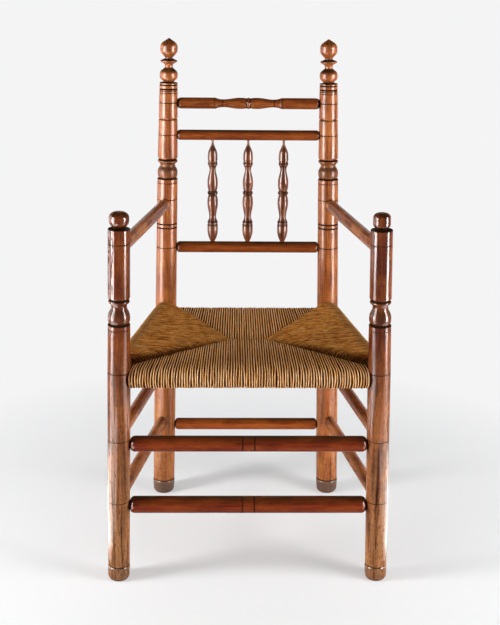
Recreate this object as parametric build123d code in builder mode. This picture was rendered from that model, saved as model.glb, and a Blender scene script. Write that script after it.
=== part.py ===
from build123d import *

import os
from math import radians, tan

os.makedirs("parts", exist_ok=True)

# Spindle back armchair with a rush seat, in millimetres.
# +Z is up, the front faces -Y, and +X is on the right of someone who faces the chair.
# Four turned posts lean in a little as they rise. Sticks with round tenons in blind sockets join them.

# Plan of the posts, between their centres at the floor
front_foot_spread = 527.0
back_foot_spread = 389.0
post_spacing = 370.0
post_lean = 1.28  # degrees from upright, towards the middle of the chair

# Heights of the sticks' centre lines, most of them from the one below
lower_stretcher_height = 164.0
upper_stretcher_rise = 133.5
upper_side_stretcher_fall = 8.5  # from its back end down to its front end
back_stretcher_height = 170.0
seat_rail_height = 437.0
side_rail_fall = 4.0  # from its back end down to its front end
arm_rise = 259.5
arm_fall = 6.5  # from its back end down to its front end
lower_spindle_rail_rise = 164.0
spindle_rail_spacing = 253.5
crest_rise = 69.5

# Front posts
front_foot_flat_diameter = 33.0
front_foot_diameter = 43.9
front_foot_round = 9.5
front_foot_shoulder_diameter = 44.9
front_foot_groove_height = 31.0
front_ankle_diameter = 43.6
front_seat_diameter = 45.0
front_turning_diameter = 43.1
front_turning_drop = 149.0  # from the arm down to the turning's base
front_turning_height = 55.0
front_top_diameter = 42.2
front_shoulder_rise = 40.5
knob_neck_diameter = 21.0
knob_neck_height = 4.0
knob_height = 29.0
knob_top_flat_diameter = 10.0
knob_diameters = {"left": 38.6, "right": 33.4}

# Back posts
back_foot_flat_diameter = 36.0
back_foot_diameter = 48.0
back_foot_round = 9.0
back_foot_shoulder_diameter = 50.4
back_foot_groove_height = 32.5
back_ankle_diameter = 48.7
back_low_diameter = 49.5
back_turning_diameter = 44.7
back_turning_drop = 97.0  # from the upper spindle rail down to the turning's base
back_turning_height = 49.8
paired_groove_rise = 51.3  # from the lower spindle rail up to the pair of grooves
paired_groove_spacing = 9.0
waist_drop = 34.0  # from the crest rail down to the rounded waist
waist_height = 9.0
waist_depth = 2.0
waisted_diameter = 41.0
back_top_diameter = 38.9
back_shoulder_rise = 44.3
band_height = 25.0
finial_height = 94.2
finial_diameter = 38.8

# Lines cut round the posts and stretchers. Most lie a little above the centre line of the stick they mark.
stretcher_line_rise = 11.0
seat_line_rise = 13.5
front_arm_line_rise = 12.2
back_arm_line_rise = 8.7
rail_line_rise = 1.3
turning_line_gap = 8.7  # from a turning's base down to a thin line
foot_shoulder_round = 5.0  # rounded edge of a foot, under its groove
line_width = 1.6
line_depth = 0.5
groove_width = 3.2
groove_depth = 1.3
stretcher_ring_spacing = 24.0

# Sticks
crest_diameter = 24.3
upper_spindle_rail_diameter = 22.6
lower_spindle_rail_diameter = 25.2
arm_diameter = 26.5
front_upper_stretcher_diameter = 31.4
front_lower_stretcher_diameter = 34.0
back_stretcher_diameter = 26.8
side_upper_stretcher_diameter = 25.0
side_lower_stretcher_diameter = 26.0
seat_rail_diameter = 29.0
stick_end_round = 6.5
front_stretcher_end_round = 10.0
crest_end_round = 9.0

# Crest rail's turning, from its middle outwards
crest_bead_width = 6.0
crest_groove_width = 2.6
crest_swell_length = 50.0
crest_cove_length = 16.0
crest_cove_diameter = 17.0

# Spindles
spindle_diameter = 23.5
spindle_spacing = 78.0
spindle_tenon_diameter = 6.0
spindle_tenon_length = 8.5

# Tenons and sockets
back_tenon_diameter = 15.5
arm_tenon_diameter = 17.0
front_tenon_diameter = 16.0
side_tenon_diameter = 13.5
tenon_length = 26.0
socket_wall = 2.5  # wood between two sockets, one above the other
socket_play = 0.2
socket_end_play = 0.5
shoulder_gap = 0.3

# Rush seat
strand_thickness = 5.4
rush_play = 0.3
seat_middle_drop = 7.0  # from the front roll's top down to the middle seam
seat_middle_thickness = 20.0
middle_seam_length = 76.0

overrun = 40.0  # how far cutting shapes run past what they cut

# Ways for a turned outline to reach a station from the one before it
LINE = "straight"
FLOW = "part of one smooth curve"
BELLY = "a quarter ellipse that starts square to the centre line and ends along it"
NECK = "a quarter ellipse that starts along the centre line and ends square to it"
quarter_share = 0.5523

# Turnings: share of the height, share of the radius, and the way to that station
finial_shares = [
    (0.000, 0.600, LINE),
    (0.032, 0.600, LINE),
    (0.066, 0.800, FLOW),
    (0.111, 0.960, FLOW),
    (0.170, 1.000, FLOW),
    (0.224, 0.975, FLOW),
    (0.270, 0.860, FLOW),
    (0.315, 0.590, FLOW),
    (0.350, 0.440, FLOW),
    (0.390, 0.435, LINE),
    (0.428, 0.550, FLOW),
    (0.452, 0.750, FLOW),
    (0.474, 0.915, FLOW),
    (0.488, 0.948, LINE),
    (0.500, 0.940, LINE),
    (0.553, 0.410, LINE),
    (0.572, 0.415, LINE),
    (0.609, 0.600, FLOW),
    (0.655, 0.790, FLOW),
    (0.690, 0.900, FLOW),
    (0.728, 0.948, FLOW),
    (0.775, 0.955, FLOW),
    (0.820, 0.950, FLOW),
    (0.860, 0.900, FLOW),
    (0.904, 0.750, FLOW),
    (0.949, 0.450, FLOW),
    (0.982, 0.200, FLOW),
    (1.000, 0.090, LINE),
]
front_turning_shares = [
    (0.025, 0.850, LINE),
    (0.060, 0.850, LINE),
    (0.230, 0.992, BELLY),
    (0.320, 0.985, FLOW),
    (0.430, 0.920, FLOW),
    (0.520, 0.810, FLOW),
    (0.600, 0.720, FLOW),
    (0.665, 0.700, FLOW),
    (0.725, 0.720, FLOW),
    (0.780, 0.790, FLOW),
    (0.800, 0.900, LINE),
    (0.845, 0.955, FLOW),
    (0.885, 0.920, FLOW),
    (0.912, 0.860, LINE),
    (0.955, 0.860, LINE),
    (1.000, 0.985, BELLY),
]
back_turning_shares = [
    (0.025, 0.865, LINE),
    (0.060, 0.865, LINE),
    (0.250, 0.975, BELLY),
    (0.350, 0.975, FLOW),
    (0.440, 0.915, FLOW),
    (0.515, 0.810, FLOW),
    (0.575, 0.740, FLOW),
    (0.630, 0.735, FLOW),
    (0.685, 0.775, FLOW),
    (0.730, 0.840, FLOW),
    (0.748, 0.930, LINE),
    (0.795, 0.975, FLOW),
    (0.840, 0.940, FLOW),
    (0.868, 0.841, LINE),
    (0.900, 0.841, LINE),
    (1.000, 0.971, BELLY),
]
spindle_shares = [
    (0.000, 0.360, LINE),
    (0.030, 0.640, FLOW),
    (0.065, 0.870, FLOW),
    (0.100, 0.980, FLOW),
    (0.140, 1.000, FLOW),
    (0.172, 0.985, FLOW),
    (0.180, 0.930, LINE),
    (0.188, 0.970, LINE),
    (0.202, 0.950, LINE),
    (0.222, 0.760, FLOW),
    (0.247, 0.650, FLOW),
    (0.282, 0.700, FLOW),
    (0.318, 0.830, FLOW),
    (0.355, 0.960, FLOW),
    (0.395, 1.000, FLOW),
    (0.432, 0.950, FLOW),
    (0.466, 0.750, FLOW),
    (0.478, 0.950, LINE),
    (0.497, 0.950, LINE),
    (0.504, 0.740, LINE),
    (0.535, 0.910, FLOW),
    (0.572, 0.975, FLOW),
    (0.612, 0.960, FLOW),
    (0.645, 0.850, FLOW),
    (0.678, 0.690, FLOW),
    (0.712, 0.580, FLOW),
    (0.738, 0.640, FLOW),
    (0.758, 0.830, FLOW),
    (0.766, 0.900, LINE),
    (0.784, 0.900, LINE),
    (0.792, 0.840, LINE),
    (0.802, 0.840, LINE),
    (0.810, 0.920, LINE),
    (0.842, 0.905, FLOW),
    (0.875, 0.860, FLOW),
    (0.900, 0.730, FLOW),
    (0.925, 0.520, FLOW),
    (0.950, 0.330, FLOW),
]
knob_shares = {"left": (0.47, 0.12), "right": (0.26, 0.42)}  # lower rounding and straight side, of the height
band_line_shares = (0.71, 0.88)  # of the band's height, down from the shoulder
band_groove_shares = (0.18, 0.54)

# Heights that follow. Where sticks meet in one post, the side stick's socket lies above the other one.
front_stagger = (front_tenon_diameter + side_tenon_diameter) / 2 + socket_wall
back_stagger = side_tenon_diameter + socket_wall
upper_stretcher_height = lower_stretcher_height + upper_stretcher_rise
arm_height = seat_rail_height + arm_rise
lower_spindle_rail_height = seat_rail_height + lower_spindle_rail_rise
upper_spindle_rail_height = lower_spindle_rail_height + spindle_rail_spacing
crest_height = upper_spindle_rail_height + crest_rise
front_shoulder_height = arm_height + front_shoulder_rise
back_shoulder_height = crest_height + back_shoulder_rise
front_turning_base = arm_height - front_turning_drop
back_turning_base = upper_spindle_rail_height - back_turning_drop
waist_centre = crest_height - waist_drop

# Ends of the posts' straight tapers, as (height, radius)
front_foot = (front_foot_round, front_foot_diameter / 2)
front_low = (front_foot_groove_height + groove_width / 2, front_ankle_diameter / 2)
front_seat = (seat_rail_height, front_seat_diameter / 2)
front_under_turning = (front_turning_base, front_turning_diameter / 2)
front_over_turning = (
    front_turning_base + front_turning_height,
    front_turning_diameter / 2 * front_turning_shares[-1][1],
)
front_top = (front_shoulder_height - line_width, front_top_diameter / 2)
back_foot = (back_foot_round, back_foot_diameter / 2)
back_ankle = (back_foot_groove_height + groove_width / 2, back_ankle_diameter / 2)
back_low = (back_stretcher_height, back_low_diameter / 2)
back_under_turning = (back_turning_base, back_turning_diameter / 2)
back_over_turning = (
    back_turning_base + back_turning_height,
    back_turning_diameter / 2 * back_turning_shares[-1][1],
)
back_under_waist = (waist_centre - waist_height / 2, waisted_diameter / 2)
back_over_waist = (waist_centre + waist_height / 2, waisted_diameter / 2)
back_top = (back_shoulder_height - line_width / 2, back_top_diameter / 2)

# The middle of the chair's depth lies at Y = 0, where the back posts are thicker than the front ones
thickness_shift = (back_foot_shoulder_diameter - front_seat_diameter) / 4
post_depth = {"front": -post_spacing / 2 - thickness_shift, "back": post_spacing / 2 - thickness_shift}
foot_spread = {"front": front_foot_spread, "back": back_foot_spread}
sides = {"left": -1, "right": 1}


def post_point(row, side, height):
    """The point on a post's leaning centre line at a height."""
    across = foot_spread[row] / 2 - height * tan(radians(post_lean))
    return Vector(sides[side] * across, post_depth[row], height)


def taper_radius(low, high, height):
    """Radius at a height on a straight taper between two (height, radius) points."""
    return low[1] + (high[1] - low[1]) * (height - low[0]) / (high[0] - low[0])


def post_radius(row, height):
    """Radius of a post's straight stretches at a height."""
    if row == "front":
        tapers = [(front_low, front_seat), (front_seat, front_under_turning), (front_over_turning, front_top)]
    else:
        tapers = [
            (back_low, back_under_turning),
            (back_over_turning, back_under_waist),
            (back_over_waist, back_top),
        ]
    for low, high in tapers:
        if height <= high[0]:
            return taper_radius(low, high, height)
    return tapers[-1][1][1]


def scribed(low, high, lines=(), grooves=()):
    """The stations above the low end of a straight taper, with thin lines and wider grooves cut into it."""
    cuts = [(height, line_width, line_depth) for height in lines]
    cuts += [(height, groove_width, groove_depth) for height in grooves]
    stations = []
    for height, width, depth in sorted(cuts):
        radius = taper_radius(low, high, height)
        stations.append((height - width / 2, radius, LINE))
        stations.append((height, radius - depth, LINE))
        stations.append((height + width / 2, radius, LINE))
    return stations + [(*high, LINE)]


def turning(base, height, radius, shares):
    """Real stations of a turning that is given in shares of its height and radius."""
    return [(base + share * height, radius_share * radius, way) for share, radius_share, way in shares]


def turning_plane(start, end):
    """The plane of a turned piece's outline: x is the radius and y runs along the centre line."""
    square = Plane(origin=start, z_dir=end - start)
    return Plane(origin=start, x_dir=square.x_dir, z_dir=-square.y_dir)


def draw_outline(stations):
    """Draws half of a turned piece's outline, closed along its centre line, in the current line builder."""
    points = [(radius, height) for height, radius, way in stations]
    low, high = (0, points[0][1]), (0, points[-1][1])
    Line(low, points[0])
    flow = []
    for before, here, (height, radius, way) in zip(points, points[1:], stations[1:]):
        if flow and way != FLOW:
            Spline(*flow)
            flow = []
        wide = quarter_share * (here[0] - before[0])
        tall = quarter_share * (here[1] - before[1])
        if way == LINE:
            Line(before, here)
        elif way == BELLY:
            Bezier(before, (before[0] + wide, before[1]), (here[0], here[1] - tall), here)
        elif way == NECK:
            Bezier(before, (before[0], before[1] + tall), (here[0] - wide, here[1]), here)
        else:
            flow = (flow or [before]) + [here]
    if points[-1] != high:
        Line(points[-1], high)
    Line(high, low)


class Stick:
    """A stick between two centre points, with a round tenon at each end and the sockets that take them."""

    def __init__(self, start, end, start_radius, end_radius, diameter, tenon_diameter, length=tenon_length):
        self.start = start
        self.end = end
        self.surfaces = (start_radius, end_radius)
        self.radius = diameter / 2
        self.tenon_radius = tenon_diameter / 2
        self.tenon_length = length
        self.span = (end - start).length
        self.low = start_radius + shoulder_gap
        self.high = self.span - end_radius - shoulder_gap

    def between_tenons(self, body, last_way=NECK):
        """The whole outline: the body's stations between the two tenons."""
        tail = self.surfaces[0] - self.tenon_length
        tip = self.span - self.surfaces[1] + self.tenon_length
        first = [(tail, self.tenon_radius, LINE), (self.low, self.tenon_radius, LINE)]
        last = [(self.high, self.tenon_radius, last_way), (tip, self.tenon_radius, LINE)]
        return first + body + last

    def socket(self, at_start):
        """The plane of a socket's bottom, its radius, and how far to cut, in the piece that takes one end."""
        along = (self.end - self.start).normalized() * (1 if at_start else -1)
        centre = self.start if at_start else self.end
        surface = self.surfaces[0 if at_start else 1]
        bottom = centre + along * (surface - self.tenon_length - socket_end_play)
        return Plane(origin=bottom, z_dir=along), self.tenon_radius + socket_play, self.tenon_length + overrun


def plain_outline(stick):
    """A plain stick with rounded ends."""
    low = (stick.low + stick_end_round, stick.radius, BELLY)
    high = (stick.high - stick_end_round, stick.radius, LINE)
    return stick.between_tenons([low, high])


def ringed_outline(stick):
    """A front stretcher: two scribed rings about its middle, and longer rounded ends."""
    low = (stick.low + front_stretcher_end_round, stick.radius)
    high = (stick.high - front_stretcher_end_round, stick.radius)
    rings = [stick.span / 2 - stretcher_ring_spacing / 2, stick.span / 2 + stretcher_ring_spacing / 2]
    return stick.between_tenons([(*low, BELLY)] + scribed(low, high, rings))


def crest_outline(stick):
    """The crest rail: a middle bead, and on each side a groove, a long swell, a cove and a plain end."""
    middle = stick.span / 2
    bead = crest_bead_width / 2
    swell_start = bead + crest_groove_width
    swell_top = swell_start + crest_swell_length / 4
    cove = swell_start + crest_swell_length
    cove_end = cove + crest_cove_length
    cove_radius = crest_cove_diameter / 2
    groove_radius = stick.radius - groove_depth
    half = [
        (stick.low + crest_end_round, stick.radius, BELLY),
        (middle - cove_end - 2 * line_width, stick.radius, LINE),
        (middle - cove_end - line_width, stick.radius - line_depth, LINE),
        (middle - cove_end, stick.radius, LINE),
        (middle - cove, cove_radius, FLOW),
        (middle - (cove + swell_top) / 2, (stick.radius + cove_radius) / 2, FLOW),
        (middle - swell_top, stick.radius, FLOW),
        (middle - swell_start, groove_radius, NECK),
        (middle - bead, groove_radius, LINE),
        (middle, stick.radius, BELLY),
    ]
    turned_back = {LINE: LINE, FLOW: FLOW, BELLY: NECK, NECK: BELLY}
    other_half = []
    for (height, radius, way), (_, _, way_on) in zip(half[-2::-1], half[:0:-1]):
        other_half.append((stick.span - height, radius, turned_back[way_on]))
    return stick.between_tenons(half + other_half)


def spindle_outline(stick):
    """A spindle: its turning between the rails. Its upper neck flows into the tenon."""
    body = turning(stick.low, stick.high - stick.low, stick.radius, spindle_shares)
    return stick.between_tenons(body, FLOW)


def foot_outline(flat_diameter, foot, shoulder_diameter, groove_height, ankle):
    """A foot's rounded edge and shoulder, up to the groove's upper edge at the ankle. It starts below the floor,
    where the leaning post is cut level."""
    return [
        (-line_width, flat_diameter / 2, LINE),
        (0, flat_diameter / 2, LINE),
        (*foot, BELLY),
        (groove_height - foot_shoulder_round, shoulder_diameter / 2, LINE),
        (groove_height, ankle[1] - groove_depth, NECK),
        (*ankle, LINE),
    ]


def front_post_outline(side):
    """A front post from the foot to the knob above the arm."""
    knob_radius = knob_diameters[side] / 2
    rounding, straight = knob_shares[side]
    knob_base = front_shoulder_height + knob_neck_height
    stretcher_lines = [height + stretcher_line_rise for height in (lower_stretcher_height, upper_stretcher_height)]
    upper_lines = (seat_rail_height + seat_line_rise, front_turning_base - turning_line_gap)
    arm_line = (arm_height + front_arm_line_rise,)
    return [
        *foot_outline(
            front_foot_flat_diameter,
            front_foot,
            front_foot_shoulder_diameter,
            front_foot_groove_height,
            front_low,
        ),
        *scribed(front_low, front_seat, stretcher_lines),
        *scribed(front_seat, front_under_turning, upper_lines),
        *turning(front_turning_base, front_turning_height, front_turning_diameter / 2, front_turning_shares),
        *scribed(front_over_turning, front_top, arm_line),
        (front_shoulder_height, front_top[1] - line_depth, NECK),
        (front_shoulder_height, knob_neck_diameter / 2, LINE),
        (knob_base, knob_neck_diameter / 2, LINE),
        (knob_base + rounding * knob_height, knob_radius, BELLY),
        (knob_base + (rounding + straight) * knob_height, knob_radius, LINE),
        (knob_base + knob_height, knob_top_flat_diameter / 2, NECK),
    ]


def back_post_outline():
    """A back post from the foot to the finial."""
    pair = lower_spindle_rail_height + paired_groove_rise
    lower_lines = (
        lower_spindle_rail_height + rail_line_rise,
        arm_height + arm_fall + back_arm_line_rise,
        back_turning_base - turning_line_gap,
    )
    lower_grooves = (pair - paired_groove_spacing / 2, pair + paired_groove_spacing / 2)
    band_lines = [back_shoulder_height - share * band_height for share in band_line_shares]
    band_grooves = [back_shoulder_height - share * band_height for share in band_groove_shares]
    return [
        *foot_outline(
            back_foot_flat_diameter,
            back_foot,
            back_foot_shoulder_diameter,
            back_foot_groove_height,
            back_ankle,
        ),
        (*back_low, LINE),
        *scribed(back_low, back_under_turning, lower_lines, lower_grooves),
        *turning(back_turning_base, back_turning_height, back_turning_diameter / 2, back_turning_shares),
        *scribed(back_over_turning, back_under_waist, (upper_spindle_rail_height + rail_line_rise,)),
        (waist_centre, back_under_waist[1] - waist_depth, NECK),
        (*back_over_waist, BELLY),
        *scribed(back_over_waist, back_top, [crest_height + rail_line_rise, *band_lines], band_grooves),
        (back_shoulder_height, back_top[1] - line_depth, LINE),
        *turning(back_shoulder_height, finial_height, finial_diameter / 2, finial_shares),
    ]


def cross_stick(row, height, diameter, tenon_diameter):
    """A level stick from a row's left post to its right post."""
    radius = post_radius(row, height)
    ends = post_point(row, "left", height), post_point(row, "right", height)
    return Stick(*ends, radius, radius, diameter, tenon_diameter)


def side_stick(side, front_height, fall, diameter, tenon_diameter):
    """A stick from a front post up to the back post behind it."""
    back_height = front_height + fall
    ends = post_point("front", side, front_height), post_point("back", side, back_height)
    radii = post_radius("front", front_height), post_radius("back", back_height)
    return Stick(*ends, *radii, diameter, tenon_diameter)


def make_post(row, side, stations):
    """A turned post on its leaning centre line, cut level at the floor and bored for every stick it takes."""
    foot = post_point(row, side, 0)
    head = post_point(row, side, crest_height)
    sockets = [stick.socket(side == "left") for stick in cross_sticks[row].values()]
    sockets += [stick.socket(row == "front") for stick in side_sticks[side].values()]
    with BuildPart() as post:
        with BuildSketch(turning_plane(foot, head)):
            with BuildLine():
                draw_outline(stations)
            make_face()
        revolve(axis=Axis(foot, head - foot))
        split(bisect_by=Plane.XY)
        for plane, radius, depth in sockets:
            with BuildSketch(plane):
                Circle(radius)
            extrude(amount=depth, mode=Mode.SUBTRACT)
    return post


def make_stick(stick, stations, sockets=()):
    """A turned stick, bored for the spindles that it takes, if any."""
    with BuildPart() as turned:
        with BuildSketch(turning_plane(stick.start, stick.end)):
            with BuildLine():
                draw_outline(stations)
            make_face()
        revolve(axis=Axis(stick.start, stick.end - stick.start))
        for plane, radius, depth in sockets:
            with BuildSketch(plane):
                Circle(radius)
            extrude(amount=depth, mode=Mode.SUBTRACT)
    return turned


def save(name, made):
    """Labels a finished piece and writes it to its own file."""
    made.part.label = name
    export_step(made.part, f"parts/{name}.step")


# All the sticks, by the posts that take them
cross_sticks = {
    "back": {
        "crest_rail": cross_stick("back", crest_height, crest_diameter, back_tenon_diameter),
        "upper_spindle_rail": cross_stick(
            "back", upper_spindle_rail_height, upper_spindle_rail_diameter, back_tenon_diameter
        ),
        "lower_spindle_rail": cross_stick(
            "back", lower_spindle_rail_height, lower_spindle_rail_diameter, back_tenon_diameter
        ),
        "seat_rail_back": cross_stick("back", seat_rail_height, seat_rail_diameter, side_tenon_diameter),
        "back_stretcher": cross_stick(
            "back", back_stretcher_height, back_stretcher_diameter, side_tenon_diameter
        ),
    },
    "front": {
        "seat_rail_front": cross_stick("front", seat_rail_height, seat_rail_diameter, side_tenon_diameter),
        "front_stretcher_upper": cross_stick(
            "front", upper_stretcher_height, front_upper_stretcher_diameter, front_tenon_diameter
        ),
        "front_stretcher_lower": cross_stick(
            "front", lower_stretcher_height, front_lower_stretcher_diameter, front_tenon_diameter
        ),
    },
}
lower_side_height = lower_stretcher_height + front_stagger
lower_side_fall = back_stretcher_height + back_stagger - lower_side_height
upper_side_height = upper_stretcher_height + front_stagger
side_rail_height = seat_rail_height + back_stagger
side_sticks = {
    side: {
        "arm": side_stick(side, arm_height, arm_fall, arm_diameter, arm_tenon_diameter),
        "seat_rail": side_stick(
            side, side_rail_height, side_rail_fall, seat_rail_diameter, side_tenon_diameter
        ),
        "side_stretcher_upper": side_stick(
            side,
            upper_side_height,
            upper_side_stretcher_fall,
            side_upper_stretcher_diameter,
            side_tenon_diameter,
        ),
        "side_stretcher_lower": side_stick(
            side, lower_side_height, lower_side_fall, side_lower_stretcher_diameter, side_tenon_diameter
        ),
    }
    for side in sides
}
spindles = {}
for name, place in (("left", -1), ("middle", 0), ("right", 1)):
    foot = Vector(place * spindle_spacing, post_depth["back"], lower_spindle_rail_height)
    head = Vector(place * spindle_spacing, post_depth["back"], upper_spindle_rail_height)
    radii = lower_spindle_rail_diameter / 2, upper_spindle_rail_diameter / 2
    spindles[name] = Stick(
        foot, head, *radii, spindle_diameter, spindle_tenon_diameter, spindle_tenon_length
    )

# Posts
for side in sides:
    save("front_post_" + side, make_post("front", side, front_post_outline(side)))
    save("back_post_" + side, make_post("back", side, back_post_outline()))

# Sticks from side to side
lower_sockets = [spindle.socket(True) for spindle in spindles.values()]
upper_sockets = [spindle.socket(False) for spindle in spindles.values()]
outlines = {
    "crest_rail": crest_outline,
    "front_stretcher_upper": ringed_outline,
    "front_stretcher_lower": ringed_outline,
}
spindle_sockets = {"lower_spindle_rail": lower_sockets, "upper_spindle_rail": upper_sockets}
for row in cross_sticks.values():
    for name, stick in row.items():
        outline = outlines.get(name, plain_outline)
        save(name, make_stick(stick, outline(stick), spindle_sockets.get(name, ())))

# Sticks from front to back
for side in sides:
    for name, stick in side_sticks[side].items():
        save(f"{name}_{side}", make_stick(stick, plain_outline(stick)))

# Spindles
for name, stick in spindles.items():
    save("spindle_" + name, make_stick(stick, spindle_outline(stick)))

# Rush seat: four wedges of rush, the gores, which meet at the seams
corners = {(row, side): post_point(row, side, seat_rail_height) for row in post_depth for side in sides}
leans = {
    corner: Plane(origin=point, z_dir=point - post_point(*corner, 0)) for corner, point in corners.items()
}
seam_depth = (post_depth["front"] + post_depth["back"]) / 2
seam_ends = {side: Vector(place * middle_seam_length / 2, seam_depth, 0) for side, place in sides.items()}
seat_rail_radius = seat_rail_diameter / 2
bore_radius = seat_rail_radius + rush_play
roll_radius = bore_radius + strand_thickness
seam_top = seat_rail_height + roll_radius - seat_middle_drop
seam_bottom = seam_top - seat_middle_thickness
pocket_top = seam_top - strand_thickness
pocket_bottom = seam_bottom + strand_thickness
pocket_inset = strand_thickness / 2


class Gore:
    """A gore's plan, anticlockwise from above: its two corners, its rail's ends and the ends of its seams."""

    def __init__(self, first, second, rail_ends, tips):
        self.first = corners[first]
        self.second = corners[second]
        self.start, self.end = rail_ends
        self.tips = tips
        self.along = (self.end - self.start).normalized()
        self.inward = Vector(0, 0, 1).cross(self.second - self.first).normalized()

    def section(self):
        """The plane square to the rail, before its start: x runs level towards the middle of the seat."""
        return Plane(origin=self.start - self.along * overrun, x_dir=self.inward, z_dir=self.along)

    def ridge(self, heights):
        """Where the seams' height limits lie in the section."""
        tip = self.tips[0]
        return [self.section().to_local_coords(Vector(tip.X, tip.Y, height)) for height in heights]

    def plan(self, reach):
        """The plan's outline, which reaches past the rail."""
        outside = self.second - self.inward * reach, self.first - self.inward * reach
        return [(point.X, point.Y) for point in (self.second, *self.tips, self.first, *outside[::-1])]


front_rail = cross_sticks["front"]["seat_rail_front"]
right_rail = side_sticks["right"]["seat_rail"]
back_rail = cross_sticks["back"]["seat_rail_back"]
left_rail = side_sticks["left"]["seat_rail"]
gores = {
    "front": Gore(
        ("front", "left"),
        ("front", "right"),
        (front_rail.start, front_rail.end),
        (seam_ends["right"], seam_ends["left"]),
    ),
    "right": Gore(
        ("front", "right"), ("back", "right"), (right_rail.start, right_rail.end), (seam_ends["right"],)
    ),
    "back": Gore(
        ("back", "right"),
        ("back", "left"),
        (back_rail.end, back_rail.start),
        (seam_ends["left"], seam_ends["right"]),
    ),
    "left": Gore(("back", "left"), ("front", "left"), (left_rail.end, left_rail.start), (seam_ends["left"],)),
}


def make_wedge(gore, radius, heights, inset=0):
    """A roll about a gore's rail that tapers to the seams, cut to the gore's plan less an inset."""
    reach = radius + overrun
    top, bottom = heights
    with BuildPart() as wedge:
        with BuildSketch(gore.section()):
            with BuildLine():
                CenterArc((0, 0), radius, 0, 360)
                Line(*[(point.X, point.Y) for point in gore.ridge(heights)])
            make_hull()
        extrude(amount=(gore.end - gore.start).length + 2 * overrun)
        with BuildSketch(Plane.XY.offset(bottom - reach)):
            with BuildLine():
                Polyline(*gore.plan(reach), close=True)
            make_face()
            if inset:
                offset(amount=-inset, kind=Kind.INTERSECTION)
        extrude(amount=top - bottom + 2 * reach, mode=Mode.INTERSECT)
    return wedge.part


outsides = []
pockets = []
for gore in gores.values():
    outsides.append(make_wedge(gore, roll_radius, (seam_top, seam_bottom)))
    pockets.append(make_wedge(gore, bore_radius, (pocket_top, pocket_bottom), pocket_inset))
with BuildPart() as rush_seat:
    add(outsides)
    add(pockets, mode=Mode.SUBTRACT)
    for (row, side), lean in leans.items():
        with Locations(lean):
            radius = post_radius(row, seat_rail_height) + rush_play
            Cylinder(radius, 2 * (roll_radius + overrun), mode=Mode.SUBTRACT)
save("rush_seat", rush_seat)

# Stuffing: a pad of dry rush in each pocket, between the rail and the seams
for name, gore in gores.items():
    heights = pocket_top - rush_play, pocket_bottom + rush_play
    filling = make_wedge(gore, seat_rail_radius, heights, pocket_inset + rush_play)
    with BuildPart() as stuffing:
        add(filling)
        split(bisect_by=Plane(origin=gore.start + gore.inward * bore_radius, z_dir=gore.inward))
        for (row, side), lean in leans.items():
            with Locations(lean):
                radius = post_radius(row, seat_rail_height) + 2 * rush_play
                Cylinder(radius, 2 * (roll_radius + overrun), mode=Mode.SUBTRACT)
    save("seat_stuffing_" + name, stuffing)
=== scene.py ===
import math
import random

import bmesh
import bpy
import numpy as np
from mathutils import Matrix, Vector


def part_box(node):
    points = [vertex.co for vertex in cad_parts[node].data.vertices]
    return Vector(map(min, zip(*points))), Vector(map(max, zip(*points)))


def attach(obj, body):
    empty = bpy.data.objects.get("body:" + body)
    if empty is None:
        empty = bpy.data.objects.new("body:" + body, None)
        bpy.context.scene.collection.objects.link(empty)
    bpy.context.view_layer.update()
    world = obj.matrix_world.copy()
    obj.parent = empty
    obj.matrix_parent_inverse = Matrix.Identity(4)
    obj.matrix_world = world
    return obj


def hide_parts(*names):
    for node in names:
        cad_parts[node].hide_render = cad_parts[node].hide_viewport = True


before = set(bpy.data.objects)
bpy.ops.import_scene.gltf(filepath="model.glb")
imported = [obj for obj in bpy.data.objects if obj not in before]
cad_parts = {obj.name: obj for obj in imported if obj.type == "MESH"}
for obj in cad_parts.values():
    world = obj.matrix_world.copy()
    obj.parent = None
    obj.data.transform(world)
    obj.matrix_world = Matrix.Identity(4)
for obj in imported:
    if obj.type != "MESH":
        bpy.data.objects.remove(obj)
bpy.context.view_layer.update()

# A spindle back armchair with a rush seat. The frame holds its wood; the rush seat's strands are made here.
# Lengths are in metres. +Z is up, the front faces -Y, and +X is on the right of someone who faces the
# chair.

scene = bpy.context.scene
scene.view_settings.view_transform = "Standard"

# Camera: the photograph's place and angle
CAMERA_PLACE = (-0.0379, -2.1142, 1.2301)
CAMERA_PITCH = 14.80  # degrees down from level
CAMERA_YAW = 1.09  # degrees from straight back, towards +X
CAMERA_ROLL = 0.53  # degrees
LENS, SENSOR = 61.02, 36.0  # millimetres
SHIFT_UP = -0.12
FARTHEST_SEEN = 200


def make_camera():
    """The camera, turned by its pitch, yaw and roll."""
    pitch, yaw, roll = (math.radians(angle) for angle in (CAMERA_PITCH, CAMERA_YAW, CAMERA_ROLL))
    ahead = Vector((math.sin(yaw) * math.cos(pitch), math.cos(yaw) * math.cos(pitch), -math.sin(pitch)))
    level = ahead.cross(Vector((0, 0, 1))).normalized()
    upright = level.cross(ahead)
    right = math.cos(roll) * level + math.sin(roll) * upright
    up = math.cos(roll) * upright - math.sin(roll) * level
    camera = bpy.data.objects.new("camera", bpy.data.cameras.new("camera"))
    scene.collection.objects.link(camera)
    camera.data.lens = LENS
    camera.data.sensor_width = SENSOR
    camera.data.shift_y = SHIFT_UP
    camera.data.clip_end = FARTHEST_SEEN
    turned = Matrix((right, up, -ahead)).transposed().to_4x4()
    camera.matrix_world = Matrix.Translation(CAMERA_PLACE) @ turned
    scene.camera = camera


make_camera()

# Node helpers


def add_node(tree, kind, inputs=None, **settings):
    """Adds a shader node; inputs are sockets to link or plain values to set."""
    node = tree.nodes.new("ShaderNode" + kind)
    for name, value in settings.items():
        setattr(node, name, value)
    for name, value in (inputs or {}).items():
        if isinstance(value, bpy.types.NodeSocket):
            tree.links.new(value, node.inputs[name])
        else:
            node.inputs[name].default_value = value
    return node


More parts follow.
